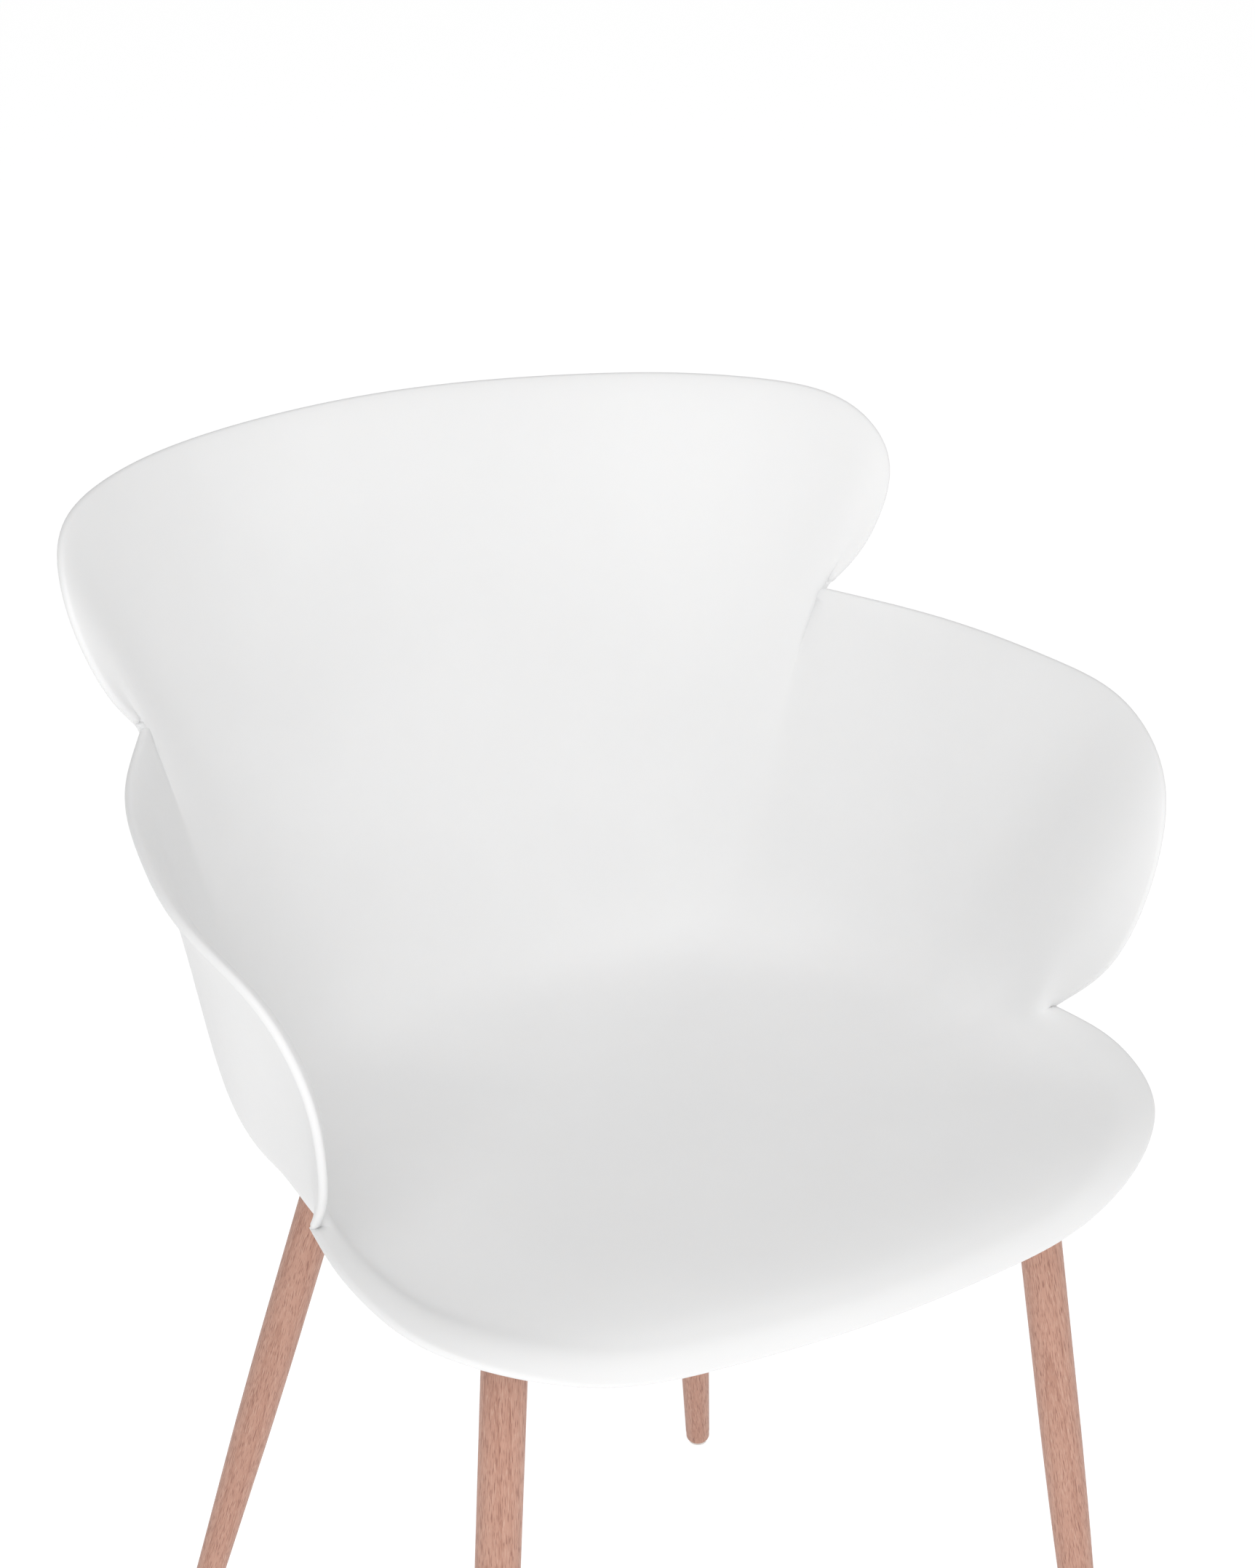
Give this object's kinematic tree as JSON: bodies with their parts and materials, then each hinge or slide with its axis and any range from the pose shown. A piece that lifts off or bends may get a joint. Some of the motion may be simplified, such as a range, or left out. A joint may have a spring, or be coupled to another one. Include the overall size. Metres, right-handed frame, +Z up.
{
  "type": "dining armchair",
  "caption": "Dining armchair with a moulded plastic bucket shell in petal-shaped lobes for back, arms and seat front, on splayed round wooden legs.",
  "frame": {"origin": "on the floor, under the middle of the chair's overall box", "axes": "+Z up, -Y towards the front of the seat, +X to the right for someone facing the chair's front"},
  "size_m": [0.6168, 0.5196, 0.7895],
  "materials": {
    "shell_plastic": "fine satin white polypropylene",
    "beech": "matt clear-lacquered steamed beech",
    "frame_paint": "fine-textured black powder coat",
    "zinc_steel": "zinc plated",
    "brass": "plain turned",
    "black_plastic": "fine grain",
    "pale_plastic": "plain moulded nylon"
  },
  "bodies": {
    "root": {"seat_shell": "shell_plastic", "frame_hub": "frame_paint", "insert_front_left": "brass", "seat_screw_front_left": "zinc_steel", "seat_washer_front_left": "zinc_steel", "seat_spacer_front_left": "black_plastic", "frame_bar_front_left": "frame_paint", "bar_cap_front_left": "black_plastic", "leg_plate_front_left": "frame_paint", "leg_front_left": "beech", "hanger_bolt_front_left": "zinc_steel", "leg_washer_front_left": "zinc_steel", "leg_nut_front_left": "zinc_steel", "glide_front_left": "pale_plastic", "glide_nail_front_left": "zinc_steel", "insert_front_right": "brass", "seat_screw_front_right": "zinc_steel", "seat_washer_front_right": "zinc_steel", "seat_spacer_front_right": "black_plastic", "frame_bar_front_right": "frame_paint", "bar_cap_front_right": "black_plastic", "leg_plate_front_right": "frame_paint", "leg_front_right": "beech", "hanger_bolt_front_right": "zinc_steel", "leg_washer_front_right": "zinc_steel", "leg_nut_front_right": "zinc_steel", "glide_front_right": "pale_plastic", "glide_nail_front_right": "zinc_steel", "insert_rear_left": "brass", "seat_screw_rear_left": "zinc_steel", "seat_washer_rear_left": "zinc_steel", "seat_spacer_rear_left": "black_plastic", "frame_bar_rear_left": "frame_paint", "bar_cap_rear_left": "black_plastic", "leg_plate_rear_left": "frame_paint", "leg_rear_left": "beech", "hanger_bolt_rear_left": "zinc_steel", "leg_washer_rear_left": "zinc_steel", "leg_nut_rear_left": "zinc_steel", "glide_rear_left": "pale_plastic", "glide_nail_rear_left": "zinc_steel", "insert_rear_right": "brass", "seat_screw_rear_right": "zinc_steel", "seat_washer_rear_right": "zinc_steel", "seat_spacer_rear_right": "black_plastic", "frame_bar_rear_right": "frame_paint", "bar_cap_rear_right": "black_plastic", "leg_plate_rear_right": "frame_paint", "leg_rear_right": "beech", "hanger_bolt_rear_right": "zinc_steel", "leg_washer_rear_right": "zinc_steel", "leg_nut_rear_right": "zinc_steel", "glide_rear_right": "pale_plastic", "glide_nail_rear_right": "zinc_steel"}
  },
  "joints": []
}
